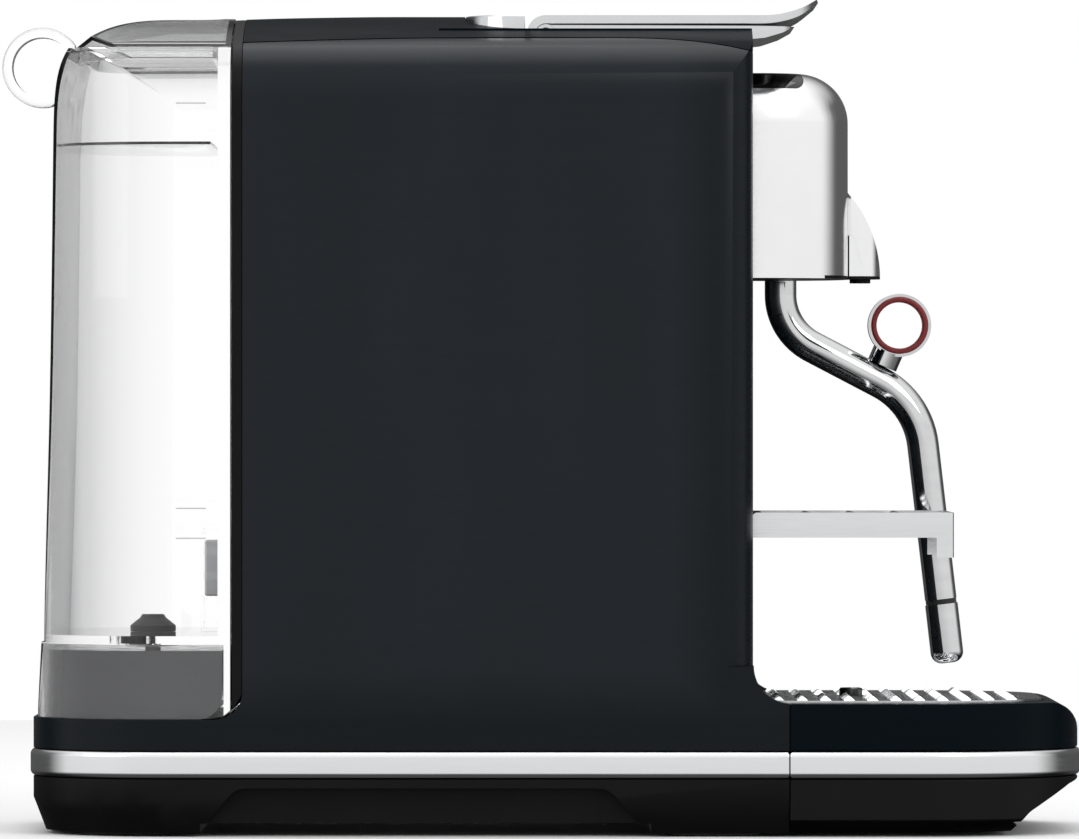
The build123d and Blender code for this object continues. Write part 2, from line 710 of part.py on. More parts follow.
def make_hinge():
    """Steel pin of the lever and the two ears that carry it."""
    x, z = lever_pivot
    with BuildPart() as ears:
        for side in (-1, 1):
            y = 33 * side
            add(rod_y(x, z, 3.9, y - 3, y + 3))
            add(block(x - 2.6, x + 2.6, y - 3, y + 3, 304.5, z))
            add(block(x - 9, x + 9, y - 5, y + 5, 302.7, 306.8))
        add(pivot_drum(2.5, -49, 49))
    keep("lever_pin", ears.part)


def make_link():
    """Pair of link plates with a cross pin at the crank and a stub pin at the carriage."""
    with BuildPart() as link:
        for y in (27.6, -30.2):
            with BuildSketch(Plane.XZ.offset(-y - 2.6)):
                add(slot_between(crank_pin, carriage_pin, 4))
            extrude(amount=2.6)
        add(rod_y(crank_pin[0], crank_pin[1], 2, -29, 29))
        for y0, y1 in ((-29, -24.2), (24.2, 29)):
            add(rod_y(carriage_pin[0], carriage_pin[1], 2, y0, y1))
    keep("lever_link", link.part)


def make_brew_unit():
    """Fixed injection block and capsule cage, and the sliding carriage with its extraction plate."""
    with BuildPart() as block_part:
        add(rod((-18, 0, brew_axis), (7.9, 0, brew_axis), 20))
        add(rod((7.9, 0, brew_axis), (14, 0, brew_axis), 3.2))
        add(rod((-26, 0, brew_axis), (-18, 0, brew_axis), 4.5))
        add(rod((-27, 0, brew_axis), (15, 0, brew_axis), 1.2), mode=Mode.SUBTRACT)
    keep("injection_block", block_part.part)
    with BuildPart() as cage:
        with BuildSketch(Plane.XZ):
            with BuildLine():
                Polyline((8, 4), (pod_face, 19), (pod_face, 22.5), (8, 22.5), (8, 4))
            make_face()
        revolve(axis=Axis.X)
    with BuildPart() as hollow:
        with BuildSketch(Plane.XZ):
            with BuildLine():
                Polyline((7.9, 0), (7.9, 3.8), (12, 3.8), (12, 12.5), (pod_face - 1.5, 15.5),
                         (pod_face - 1.5, 18.8), (pod_face + 1, 18.8), (pod_face + 1, 0), (7.9, 0))
            make_face()
        revolve(axis=Axis.X)
    with BuildPart() as placed:
        with Locations((0, 0, brew_axis)):
            add(cage.part)
            add(hollow.part, mode=Mode.SUBTRACT)
        add(rod((8, 0, brew_axis), (12, 0, brew_axis), 22.5))
        add(rod((7, 0, brew_axis), (13, 0, brew_axis), 3.9), mode=Mode.SUBTRACT)
    keep("capsule_cage", placed.part)
    x, z = carriage_pin
    with BuildPart() as carriage:
        add(rod((pod_face + 4, 0, brew_axis), (pod_face + 13, 0, brew_axis), 22))
        add(block(pod_face + 4, pod_face + 13, -27.2, 27.2, 252, 284))
        for side in (-1, 1):
            y0, y1 = sorted((24.3 * side, 27.2 * side))
            add(block(29, pod_face + 13, y0, y1, 252, 292))
            add(block(29, x + 7, y0, y1, 252, 302))
            add(block(x - 3.1, x + 3.1, y0 - 1, y1 + 1, z - 8, z + 3), mode=Mode.SUBTRACT)
        add(rod((pod_face + 3, 0, brew_axis), (pod_face + 8, 0, brew_axis), 18), mode=Mode.SUBTRACT)
        add(rod((pod_face, 0, brew_axis), (pod_face + 20, 0, brew_axis), 2), mode=Mode.SUBTRACT)
    keep("brew_carriage", carriage.part)
    with BuildPart() as plate:
        add(rod((pod_face + 0.4, 0, brew_axis), (pod_face + 8, 0, brew_axis), 17.9))
        with BuildSketch(Plane.YZ.offset(pod_face)):
            with Locations((0, brew_axis)):
                with GridLocations(3.4, 3.4, 7, 7):
                    Rectangle(1.2, 1.2)
        extrude(amount=1.4, mode=Mode.SUBTRACT)
    keep("extraction_plate", plate.part)
    with BuildPart() as frame:
        for side in (-1, 1):
            y0, y1 = sorted((30.6 * side, 33.6 * side))
            add(block(-24, 78, y0, y1, 243, 302))
            add(block(4, 64, y0 - 1, y1 + 1, 262, 274), mode=Mode.SUBTRACT)
            add(block(-24, 42, y0, y1, 262, 274))
        add(block(-24, 12, -33.6, 33.6, 240, 245.2))
        add(block(-24, -18.2, -33.6, 33.6, 240, 291))
        add(rod((-30, 0, brew_axis), (-10, 0, brew_axis), 4.7), mode=Mode.SUBTRACT)
    keep("brew_frame", frame.part)


# ---------------------------------------------------------------- steam wand
wand_y = 62.0
wand_radius = 6.5
wand_pivot = (98.7, 250.0)
wand_route = [(wand_pivot[0], wand_y, wand_pivot[1] - 6), (98.7, wand_y, 201), (155, wand_y, 171.5),
              (164.3, wand_y, 91)]
wand_bends = [24, 33]
wand_tip = (167.3, 64.9)
ring_centre = (147.3, 203.0)
ring_foot = (140.2, 186.6)


def make_wand():
    """Bent steam tube on a hub, with its seal ring, nozzle tip and finger ring."""
    x, z = wand_pivot
    with BuildPart() as tube:
        add(pipe(wand_route, wand_bends, wand_radius, 3))
        add(rod_y(x, z, 10, wand_y - 7.7, wand_y + 7.7))
        add(rod_y(x, z, 3.05, wand_y - 20, wand_y + 20), mode=Mode.SUBTRACT)
    keep("steam_tube", tube.part)
    end = Vector(wand_route[-1][0], wand_y, wand_route[-1][2])
    bend = Vector(wand_route[-2][0], wand_y, wand_route[-2][2])
    along = (end - bend).normalized()
    with BuildPart() as seal:
        add(rod(tuple(end + along * 0.1), tuple(end + along * 2), 6.3))
        add(rod(tuple(end - along), tuple(end + along * 3), 3), mode=Mode.SUBTRACT)
    keep("wand_seal", seal.part)
    start = end + along * 2.1
    finish = Vector(wand_tip[0], wand_y, wand_tip[1])
    with BuildPart() as tip:
        add(rod(tuple(start), tuple(finish), wand_radius + 0.2))
        fillet(tip.edges().group_by(Axis.Z)[0], 4.5)
        add(rod(tuple(start - along), tuple(finish + along), 1.2), mode=Mode.SUBTRACT)
    keep("wand_tip", tip.part)
    centre = (ring_centre[0], ring_centre[1])
    with BuildPart() as ring:
        add(rod_y(centre[0], centre[1], 12.9, wand_y - 5.5, wand_y + 5.5))
        add(rod_y(centre[0], centre[1], 11.7, wand_y - 9, wand_y + 9), mode=Mode.SUBTRACT)
        inner = rod_y(centre[0], centre[1], 12, wand_y - 9, wand_y + 9)
        with BuildPart(mode=Mode.PRIVATE) as collar:
            add(rod((ring_foot[0], wand_y, ring_foot[1]), (centre[0], wand_y, centre[1]), 6.3))
            add(inner, mode=Mode.SUBTRACT)
        add(collar.part)
        add(rod((wand_route[1][0], wand_y, wand_route[1][2]), (wand_route[2][0] + 8, wand_y, wand_route[2][2] - 4.2),
                wand_radius + 0.05), mode=Mode.SUBTRACT)
        add(pipe(wand_route, wand_bends, wand_radius + 0.05), mode=Mode.SUBTRACT)
    keep("finger_ring", ring.part)
    with BuildPart() as grip:
        add(rod_y(centre[0], centre[1], 11.65, wand_y - 6, wand_y + 6))
        add(rod_y(centre[0], centre[1], 9.45, wand_y - 9, wand_y + 9), mode=Mode.SUBTRACT)
        fillet(grip.edges(), 0.8)
    keep("ring_grip", grip.part)


def make_wand_socket():
    """Two cheeks on the body's front that carry the wand's pin."""
    x, z = wand_pivot
    with BuildPart() as socket:
        for y0, y1 in ((50.6, 54), (70, 74)):
            add(rod_y(x, z, 10, y0, y1))
            add(block(body_front + 0.05, x, y0, y1, z - 10, z + 10))
        add(block(body_front + 0.05, body_front + 3, 50.6, 74, z - 13, z + 13))
        add(rod_y(x, z, 3, 51, 73))
    keep("wand_socket", socket.part)


# ---------------------------------------------------------------- capsule container and cup support
support_pivot = (88.9, 124.4)
support_middle = 122.4
support_front = 165.3


def make_container():
    """Bay inside the body, the sliding capsule bin, its front and the hinge lugs on it."""
    with BuildPart() as bay:
        add(block(-4, body_front - 0.1, -50, 50, bay_bottom - 3, bay_top + 3))
        add(block(-1, 90, -bay_half_width, bay_half_width, bay_bottom - 0.6, bay_top + 0.5), mode=Mode.SUBTRACT)
        add(block(20, 80, -30, 30, bay_top, 220), mode=Mode.SUBTRACT)
        add(block(body_front - wall - 1, 90, -60, 60, 40, 240), mode=Mode.SUBTRACT)
    keep("container_bay", bay.part)
    with BuildPart() as bin_part:
        add(block(0, body_front - 3, -46.8, 46.8, bay_bottom + 0.2, 196))
        fillet(bin_part.edges().filter_by(Axis.Z), 5)
        add(block(2, body_front - 5, -44.8, 44.8, bay_bottom + 2.2, 200), mode=Mode.SUBTRACT)
    keep("capsule_container", bin_part.part)
    x, z = support_pivot
    with BuildPart() as front:
        add(block(body_front - 2.9, body_front, -47.1, 47.1, bay_bottom + 0.3, bay_top - 0.4))
        for side in (-1, 1):
            y0, y1 = sorted((39 * side, 43.6 * side))
            add(rod_y(x, z, 2.9, y0, y1))
            add(block(body_front - 1, x, y0, y1, z - 2.9, z + 2.9))
            y0, y1 = sorted((40 * side, 48.6 * side))
            add(rod_y(x, z, 1.6, y0, y1))
    keep("container_front", front.part)


def make_support():
    """Cup support: two side bars, a deep front bar and a thin rear rail."""
    x, z = support_pivot
    rear = body_front + 0.35
    low, high = support_middle - 5, support_middle + 5
    bar = [(rear, low), (support_front - 1, low), (support_front - 1, high), (rear, high)]
    with BuildPart() as support:
        for side in (-1, 1):
            y0, y1 = sorted((44 * side, 50 * side))
            add(side_prism(bar, y0, y1, {3: 2}))
        add(block(support_front - 2.3, support_front, -50, 50, low - 8, high))
        fillet(support.edges().filter_by(Axis.Z).group_by(Axis.X)[-1], 2)
        add(block(support_front - 7, support_front - 2, -50, -48.5, low - 8, low))
        add(block(support_front - 7, support_front - 2, 48.5, 50, low - 8, low))
        for x_rail in (108, 126, 144):
            add(rod_y(x_rail, high - 2.2, 2.2, -45, 45))
        add(rod_y(x, z, 1.65, -48.9, 48.9), mode=Mode.SUBTRACT)
    keep("cup_support", support.part)


# ---------------------------------------------------------------- drip tray
def make_tray():
    """Sliding drip tray: painted housing, black lower part, chrome band and black pan."""
    with BuildPart() as housing:
        add(column(footprint(cover_inset), band_top - 10.8, tray_height))
        add(side_prism([(90, 20), (215.3, 20), (215.3, tray_height), (90, tray_height)], -100, 100, {2: 13}),
            mode=Mode.INTERSECT)
        split(bisect_by=Plane.YZ.offset(tray_split + split_gap), keep=Keep.TOP)
        add(column(footprint(3.4), 10, band_top + 0.1), mode=Mode.SUBTRACT)
        add(column(plan(70, pan_front + 0.3, pan_half_width + 0.3, 0, pan_radius), 20, 60), mode=Mode.SUBTRACT)
        add(column(plan(70, base_front - cover_inset - 3, base_half_width - cover_inset - wall, 0, 62),
                   20, tray_height - 5), mode=Mode.SUBTRACT)
        split(bisect_by=Plane.XY.offset(band_top + 0.2), keep=Keep.TOP)
    keep("tray_housing", housing.part)
    toe = [(90, foot_height), (187, foot_height), (194, 9), (211, 19.5), (220, band_bottom), (220, 40), (90, 40)]
    with BuildPart() as base:
        add(column(footprint(cover_inset), foot_height, band_bottom - 0.2))
        add(column(footprint(3.4), band_bottom - 0.2, band_top - 0.1))
        add(side_prism(toe, -100, 100, {2: 12}), mode=Mode.INTERSECT)
        split(bisect_by=Plane.YZ.offset(tray_split + split_gap), keep=Keep.TOP)
        chamfer(base.edges().group_by(Axis.Z)[0].filter_by(Axis.X), length=13, length2=5)
        add(column(plan(80, pan_front + 0.4, pan_half_width + 0.4, 0, pan_radius), 23.6, 40), mode=Mode.SUBTRACT)
        add(column(plan(tray_split + 3, 205, 88, 0, 40), 4, 20), mode=Mode.SUBTRACT)
    keep("tray_base", base.part)
    with BuildPart() as band:
        add(band_ring())
        split(bisect_by=Plane.YZ.offset(tray_split + split_gap), keep=Keep.TOP)
    keep("tray_band", band.part)
    with BuildPart() as pan:
        add(column(plan(pan_rear, pan_front, pan_half_width, 0, pan_radius), 24, grid_low - 0.2))
        add(column(plan(pan_rear + 2, pan_front - 2, pan_half_width - 2, 0, pan_radius - 2), 26, 60), mode=Mode.SUBTRACT)
        add(block(80, 92, -notch_half_width, notch_half_width, 46.6, 60), mode=Mode.SUBTRACT)
    keep("drip_pan", pan.part)


def grid_spots(columns, rows, margin):
    """Square array of points on the grid, without those near its rounded front corners."""
    spots = []
    for column_index in range(columns):
        for row_index in range(rows):
            x = 146 + (column_index - (columns - 1) / 2) * grid_pitch
            y = (row_index - (rows - 1) / 2) * grid_pitch
            past_x = max(0, x - (pan_front - pan_radius))
            past_y = max(0, abs(y) - (pan_half_width - pan_radius))
            near_notch = x < 139 and abs(y) < notch_half_width + margin
            if past_x ** 2 + past_y ** 2 < (pan_radius - margin) ** 2 and not near_notch:
                spots.append((x, y))
    return spots


def make_grid():
    """Pressed stainless grid: square holes between rows of low pyramids."""
    with BuildPart() as grid:
        add(column(plan(pan_rear + 0.6, pan_front - 0.6, pan_half_width - 0.6, 0, pan_radius - 0.6),
                   grid_low, grid_top))
        with BuildSketch(Plane.XY.offset(grid_low - 1)):
            with Locations(*grid_spots(11, 16, 5.5)):
                Rectangle(4.4, 4.4)
        extrude(amount=6, mode=Mode.SUBTRACT)
        with BuildSketch(Plane.XY.offset(grid_top)):
            with Locations(*grid_spots(12, 17, 5.5)):
                Rectangle(4.4, 4.4)
        extrude(amount=1.5, taper=50)
        add(block(80, 133, -notch_half_width, notch_half_width, 40, 60), mode=Mode.SUBTRACT)
    keep("drip_grid", grid.part)


def make_sensor():
    """Arm that reaches through the tray's notch, and the spring-loaded jug sensor on its end."""
    with BuildPart() as arm:
        add(block(body_front - 3, 131.8, -5.7, 5.7, 47.6, 53))
        add(block(body_front - 8, body_front - 3, -16, 16, 40, 53))
        add(rod((125.6, 0, 40), (125.6, 0, 60), 3.1), mode=Mode.SUBTRACT)
        add(rod((125.6, 0, 49.8), (125.6, 0, 60), 4.9), mode=Mode.SUBTRACT)
    keep("sensor_arm", arm.part)
    with BuildPart() as sensor:
        add(rod((125.6, 0, 52.5), (125.6, 0, 56.4), 4.7))
        fillet(sensor.edges().group_by(Axis.Z)[-1], 0.8)
        add(rod((125.6, 0, 48), (125.6, 0, 52.6), 3))
    keep("jug_sensor", sensor.part)


# ---------------------------------------------------------------- works inside the body
def make_works():
    """Pump on rubber mounts, two thermoblocks, flow meter, valve, boards, hoses and mains inlet."""
    with BuildPart() as pump:
        add(rod((-104, -30, 96), (-20, -30, 96), 13))
        add(block(-84, -42, -52, -8, 74, 118))
        add(rod((-108, -30, 96), (-100, -30, 96), 4))
        add(rod((-22, -30, 96), (-12, -30, 96), 4))
    keep("water_pump", pump.part)
    with BuildPart() as mounts:
        for x in (-96, -30):
            add(block(x - 5, x + 5, -46, -14, 60, 110))
            add(rod((x - 6, -30, 96), (x + 6, -30, 96), 13), mode=Mode.SUBTRACT)
            add(block(x - 6, x + 6, -60, 0, 96, 120), mode=Mode.SUBTRACT)
    keep("pump_mounts", mounts.part)
    with BuildPart() as shelf:
        add(block(-112, -8, -80, 80, 57, 59.9))
        for x, y in ((-104, -72), (-104, 72), (-16, -72), (-16, 72)):
            add(rod((x, y, 8.05), (x, y, 58), 5))
        add(block(-112, -26, -74, 74, 166.4, 169.8))
        for x, y in ((-108, -70), (-108, 70), (-30, -70), (-30, 70)):
            add(rod((x, y, 59), (x, y, 167), 3.5))
    keep("inner_frame", shelf.part)
    for name, y in (("coffee_thermoblock", 42), ("steam_thermoblock", -42)):
        with BuildPart() as heater:
            add(block(-104, -34, y - 27, y + 27, 170, 222))
            fillet(heater.edges().filter_by(Axis.Y), 6)
            add(rod_y(-92, 196, 4, y - 31, y + 31))
            add(rod_y(-46, 196, 4, y - 31, y + 31))
        keep(name, heater.part)
    with BuildPart() as meter:
        add(rod((-90, 40, 60), (-90, 40, 76), 14))
        add(rod((-108, 40, 68), (-90, 40, 68), 3.5))
        add(rod((-90, 40, 68), (-72, 40, 68), 3.5))
    keep("flow_meter", meter.part)
    with BuildPart() as valve:
        add(block(-60, -30, 28, 52, 60, 80))
        add(rod((-45, 40, 80), (-45, 40, 112), 11))
    keep("solenoid_valve", valve.part)
    with BuildPart() as control:
        add(block(0, 76, 56, 57.6, 90, 196))
        for x, z in ((14, 110), (40, 126), (60, 170), (22, 176)):
            add(block(x - 8, x + 8, 57, 64, z - 6, z + 6))
        add(block(4, 12, 50.1, 56.2, 100, 108))
        add(block(60, 68, 50.1, 56.2, 180, 188))
        add(block(0, 76, -57.6, -56, 90, 196))
        add(rod_y(20, 120, 9, -76, -57))
        add(block(36, 66, -78, -57, 130, 160))
        add(block(4, 12, -56.2, -50.1, 100, 108))
        add(block(60, 68, -56.2, -50.1, 180, 188))
    keep("circuit_boards", control.part)
    hose = 3.0
    routes = (
        [(-69, 30, 222.1), (-69, 30, 246), (-52, 0, brew_axis), (-26.1, 0, brew_axis)],
        [(-69, -42, 222.1), (-69, -42, 240), (-50, -48, 262), (30, -62, 262), (70, -62, 262)],
    )
    with BuildPart() as hoses:
        for route in routes:
            add(pipe(route, [8.0] * (len(route) - 2), hose))
    keep("water_hoses", hoses.part)
    gland_y = 30
    gland_z = 38.6
    with BuildPart() as gland:
        for x0, x1, radius in ((-202.6, -202.1, 4.5), (-202.4, -196, 3.2), (-199.4, -196, 4.5)):
            add(rod((x0, gland_y, gland_z), (x1, gland_y, gland_z), radius))
        add(rod((-210, gland_y, gland_z), (-190, gland_y, gland_z), 2.2), mode=Mode.SUBTRACT)
    keep("cable_gland", gland.part)


shell = body_shell()
make_base_pan()
make_feet()
make_base_band()
make_side_panels(shell)
make_rear_plinth(shell)
make_front_panel(shell)
make_top_cover()
make_hinge_cap()
make_rear_frame()
make_water_tank()
make_tank_lid()
make_tank_valve()
make_float()
make_pedestal()
make_head()
make_insert()
make_buttons()
make_head_floor()
make_lever()
make_hinge()
make_link()
make_brew_unit()
make_wand()
make_wand_socket()
make_container()
make_support()
make_tray()
make_grid()
make_sensor()
make_works()

os.makedirs("parts", exist_ok=True)
for name, part in pieces.items():
    export_step(part, f"parts/{name}.step")
    print(name, len(part.solids()), round(part.volume / 1000, 1))
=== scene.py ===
import json
import math

import bmesh
import bpy
import numpy as np
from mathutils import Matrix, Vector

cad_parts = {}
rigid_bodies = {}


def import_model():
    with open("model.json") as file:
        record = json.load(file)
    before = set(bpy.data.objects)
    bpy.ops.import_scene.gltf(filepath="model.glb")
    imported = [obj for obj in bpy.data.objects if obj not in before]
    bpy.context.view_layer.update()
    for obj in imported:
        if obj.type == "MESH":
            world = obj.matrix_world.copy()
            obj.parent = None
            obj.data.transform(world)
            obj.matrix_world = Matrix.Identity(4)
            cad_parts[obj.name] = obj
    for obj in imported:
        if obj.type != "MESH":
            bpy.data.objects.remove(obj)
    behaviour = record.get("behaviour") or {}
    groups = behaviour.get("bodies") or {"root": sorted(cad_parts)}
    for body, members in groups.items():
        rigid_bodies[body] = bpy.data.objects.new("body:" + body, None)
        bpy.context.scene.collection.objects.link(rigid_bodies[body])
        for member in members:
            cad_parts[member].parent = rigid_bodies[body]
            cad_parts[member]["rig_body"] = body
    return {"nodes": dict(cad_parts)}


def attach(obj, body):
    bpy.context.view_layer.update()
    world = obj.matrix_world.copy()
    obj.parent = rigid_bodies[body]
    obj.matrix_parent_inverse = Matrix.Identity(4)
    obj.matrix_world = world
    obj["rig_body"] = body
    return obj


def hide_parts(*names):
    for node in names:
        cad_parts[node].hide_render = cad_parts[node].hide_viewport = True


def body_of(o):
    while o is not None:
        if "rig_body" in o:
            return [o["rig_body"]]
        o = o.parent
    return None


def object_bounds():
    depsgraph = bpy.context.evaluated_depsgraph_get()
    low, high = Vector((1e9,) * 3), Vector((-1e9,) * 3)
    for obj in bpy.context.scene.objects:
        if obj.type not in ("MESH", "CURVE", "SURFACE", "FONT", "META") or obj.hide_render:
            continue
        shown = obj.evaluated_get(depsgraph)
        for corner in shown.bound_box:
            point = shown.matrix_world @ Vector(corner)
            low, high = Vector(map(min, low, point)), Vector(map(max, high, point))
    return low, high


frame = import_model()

# pod coffee machine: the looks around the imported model; metres, +X is the machine's front
cadLow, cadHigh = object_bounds()
nodes = frame["nodes"]
mm = 0.001


def hexColour(text):
    # sRGB hex to linear red, green, blue, alpha: the usual 2.4 power curve with its straight foot
    values = [int(text[i:i + 2], 16) / 255 for i in (1, 3, 5)]
    return tuple(v / 12.92 if v <= 0.04045 else ((v + 0.055) / 1.055) ** 2.4 for v in values) + (1.0,)


def addNode(tree, kind, settings=None, values=None, links=None):
    # one shader node with its settings, its socket values and the sockets that feed it;
    # a socket goes by its name, or by its number where two of them share a name
    node = tree.nodes.new(kind)
    for name, value in (settings or {}).items():
        setattr(node, name, value)
    for name, value in (values or {}).items():
        node.inputs[name].default_value = value
    for name, source in (links or {}).items():
        tree.links.new(source, node.inputs[name])
    return node


def startMaterial(name, values):
    # a material with one Principled shader; values are its constant sockets
    material = bpy.data.materials.new(name)
    material.use_nodes = True
    tree = material.node_tree
    shader = tree.nodes["Principled BSDF"]
    for socket, value in values.items():
        shader.inputs[socket].default_value = value
    coords = addNode(tree, "ShaderNodeTexCoord")
    return material, tree, shader, coords.outputs["Object"]


def spread(tree, source, low, high, start=0.35, end=0.65):
    # stretches a pattern between start and end to the range low..high, and holds it beyond
    ends = {"From Min": start, "From Max": end, "To Min": low, "To Max": high}
    return addNode(tree, "ShaderNodeMapRange", {}, ends, {"Value": source}).outputs["Result"]


def tint(tree, source, first, second):
    # blends two hex colours by a 0..1 pattern
    ends = {"A": hexColour(first), "B": hexColour(second)}
    return addNode(tree, "ShaderNodeMix", {"data_type": "RGBA"}, ends, {"Factor": source}).outputs["Result"]


def noise(tree, coords, size, detail=2.0, stretch=(1, 1, 1)):
    # noise whose blobs are about size metres across, drawn out along the axes by stretch
    scale = {"Scale": tuple(1 / s for s in stretch)}
    mapping = addNode(tree, "ShaderNodeMapping", {}, scale, {"Vector": coords})
    pattern = addNode(tree, "ShaderNodeTexNoise", {}, {"Scale": 1 / size, "Detail": detail},
                      {"Vector": mapping.outputs["Vector"]})
    return pattern.outputs["Fac"]


def paint(tree, shader, colour, rough):
    # colour and roughness patterns to the shader
    tree.links.new(colour, shader.inputs["Base Color"])
    tree.links.new(rough, shader.inputs["Roughness"])


def bumpFrom(tree, shader, height, strength, depth):
    # height pattern to the shader's normal; depth is the real height in metres
    bump = addNode(tree, "ShaderNodeBump", {}, {"Strength": strength, "Distance": depth}, {"Height": height})
    tree.links.new(bump.outputs["Normal"], shader.inputs["Normal"])


def satinEnamel(name, dark, light, gloss):
    # satin enamel sprayed on a steel wrap: blue-black, soft broad reflections, faint orange peel,
    # and painted shade: a darker colour along the foot and the front edge, standing in for the dark room
    # reflected there
    look = dict(cloud=60 * mm, cloudStretch=(0.5, 1, 2), deep="#020A10", foot=44 * mm, footFade=22 * mm,
                front=52 * mm, frontFade=20 * mm, frontShare=0.8, streak=7 * mm, streakStretch=(6, 6, 0.5),
                rough=(0.24, 0.32), peel=1.6 * mm, peelStrength=0.25, peelDepth=0.02 * mm)
    material, tree, shader, coords = startMaterial(name, {"Specular IOR Level": gloss})
    clouds = noise(tree, coords, look["cloud"], 2, look["cloudStretch"])
    axes = addNode(tree, "ShaderNodeSeparateXYZ", {}, {}, {"Vector": coords}).outputs
    # painted shade: foot and front are masks for the darker colour towards the foot and towards the front edge
    foot = spread(tree, axes["Z"], 1.0, 0.0, look["foot"], look["foot"] + look["footFade"])
    front = spread(tree, axes["X"], 0.0, look["frontShare"], look["front"], look["front"] + look["frontFade"])
    shade = addNode(tree, "ShaderNodeMath", {"operation": "MAXIMUM"}, {}, {0: foot, 1: front}).outputs["Value"]
    # painted shade: the enamel colour is mixed towards a darker blue-black by those masks
    colour = addNode(tree, "ShaderNodeMix", {"data_type": "RGBA"}, {"B": hexColour(look["deep"])},
                     {"Factor": shade, "A": tint(tree, clouds, dark, light)}).outputs["Result"]
    streaks = noise(tree, coords, look["streak"], 3, look["streakStretch"])
    paint(tree, shader, colour, spread(tree, streaks, *look["rough"]))
    bumpFrom(tree, shader, noise(tree, coords, look["peel"]), look["peelStrength"], look["peelDepth"])
    return material


def mouldedBlack():
    # moulded ABS with a fine spark-eroded grain: black, soft dull highlights
    look = dict(first="#060607", second="#0C0C0D", cloud=25 * mm, gloss=0.14, rough=(0.36, 0.5),
                grain=0.35 * mm, grainStrength=0.35, grainDepth=0.03 * mm)
    material, tree, shader, coords = startMaterial("black_abs_moulded", {"Specular IOR Level": look["gloss"]})
    grain = noise(tree, coords, look["grain"], 3)
    clouds = noise(tree, coords, look["cloud"])
    paint(tree, shader, tint(tree, clouds, look["first"], look["second"]), spread(tree, grain, *look["rough"]))
    bumpFrom(tree, shader, grain, look["grainStrength"], look["grainDepth"])
    return material


def glossPlastic(name, first, second, rough):
    # polished moulded plastic: sharp reflections, a little wavy from the mould
    look = dict(ior=1.53, cloud=30 * mm, smear=9 * mm, smearLow=0.7, smearHigh=1.5,
                wave=14 * mm, waveStrength=0.15, waveDepth=0.03 * mm)
    material, tree, shader, coords = startMaterial(name, {"IOR": look["ior"]})
    smears = noise(tree, coords, look["smear"], 4)
    paint(tree, shader, tint(tree, noise(tree, coords, look["cloud"]), first, second),
          spread(tree, smears, rough * look["smearLow"], rough * look["smearHigh"]))
    bumpFrom(tree, shader, noise(tree, coords, look["wave"]), look["waveStrength"], look["waveDepth"])
    return material


def chromePlate(name, first, second, rough):
    # bright plated or polished metal: mirror reflections, with light wiping marks in the gloss
    look = dict(wipe=5 * mm, wipeStretch=(3, 3, 1))
    material, tree, shader, coords = startMaterial(name, {"Metallic": 1.0})
    wipes = noise(tree, coords, look["wipe"], 4, look["wipeStretch"])
    paint(tree, shader, tint(tree, wipes, first, second), spread(tree, wipes, *rough))
    return material


def satinMetal(name, first, second, rough, stretch=(1, 1, 1), thread=0.5 * mm):
    # bead-blasted or brushed metal: soft grey sheen, hairlines drawn out along stretch
    look = dict(cloud=18 * mm, lineStrength=0.12, lineDepth=0.012 * mm)
    material, tree, shader, coords = startMaterial(name, {"Metallic": 1.0})
    lines = noise(tree, coords, thread, 3, stretch)
    clouds = noise(tree, coords, look["cloud"], 3, stretch)
    paint(tree, shader, tint(tree, clouds, first, second), spread(tree, lines, *rough))
    bumpFrom(tree, shader, lines, look["lineStrength"], look["lineDepth"])
    return material


def clearPlastic():
    # clear moulded copolyester: nearly colourless on its faces, smoke grey where it is seen along a wall
    look = dict(face="#FFFFFF", edge="#6C6D70", blend=0.42, ior=1.38, wave=45 * mm, waveStrength=0.06,
                waveDepth=0.05 * mm)
    material, tree, shader, coords = startMaterial("copolyester_clear_moulded", {
        "IOR": look["ior"], "Roughness": 0.0, "Transmission Weight": 1.0})
    facing = addNode(tree, "ShaderNodeLayerWeight", {}, {"Blend": look["blend"]}).outputs["Facing"]
    tree.links.new(tint(tree, facing, look["face"], look["edge"]), shader.inputs["Base Color"])
    bumpFrom(tree, shader, noise(tree, coords, look["wave"]), look["waveStrength"], look["waveDepth"])
    return material


def softRubber(name, first, second, rough):
    # moulded silicone or rubber: dull, a little darker in its pores
    look = dict(sheen=0.15, pore=0.6 * mm, poreStrength=0.2, poreDepth=0.02 * mm, roughSpan=0.1)
    material, tree, shader, coords = startMaterial(name, {"Sheen Weight": look["sheen"]})
    pores = noise(tree, coords, look["pore"], 3)
    paint(tree, shader, tint(tree, pores, first, second),
          spread(tree, pores, rough - look["roughSpan"], rough + look["roughSpan"]))
    bumpFrom(tree, shader, pores, look["poreStrength"], look["poreDepth"])
    return material


def castAluminium():
    # die-cast aluminium: grey, grainy skin
    look = dict(first="#8E9092", second="#B4B6B8", rough=(0.4, 0.62), skin=1.2 * mm, skinStrength=0.5,
                skinDepth=0.08 * mm)
    material, tree, shader, coords = startMaterial("aluminium_die_cast", {"Metallic": 1.0})
    skin = noise(tree, coords, look["skin"], 4)
    paint(tree, shader, tint(tree, skin, look["first"], look["second"]), spread(tree, skin, *look["rough"]))
    bumpFrom(tree, shader, skin, look["skinStrength"], look["skinDepth"])
    return material


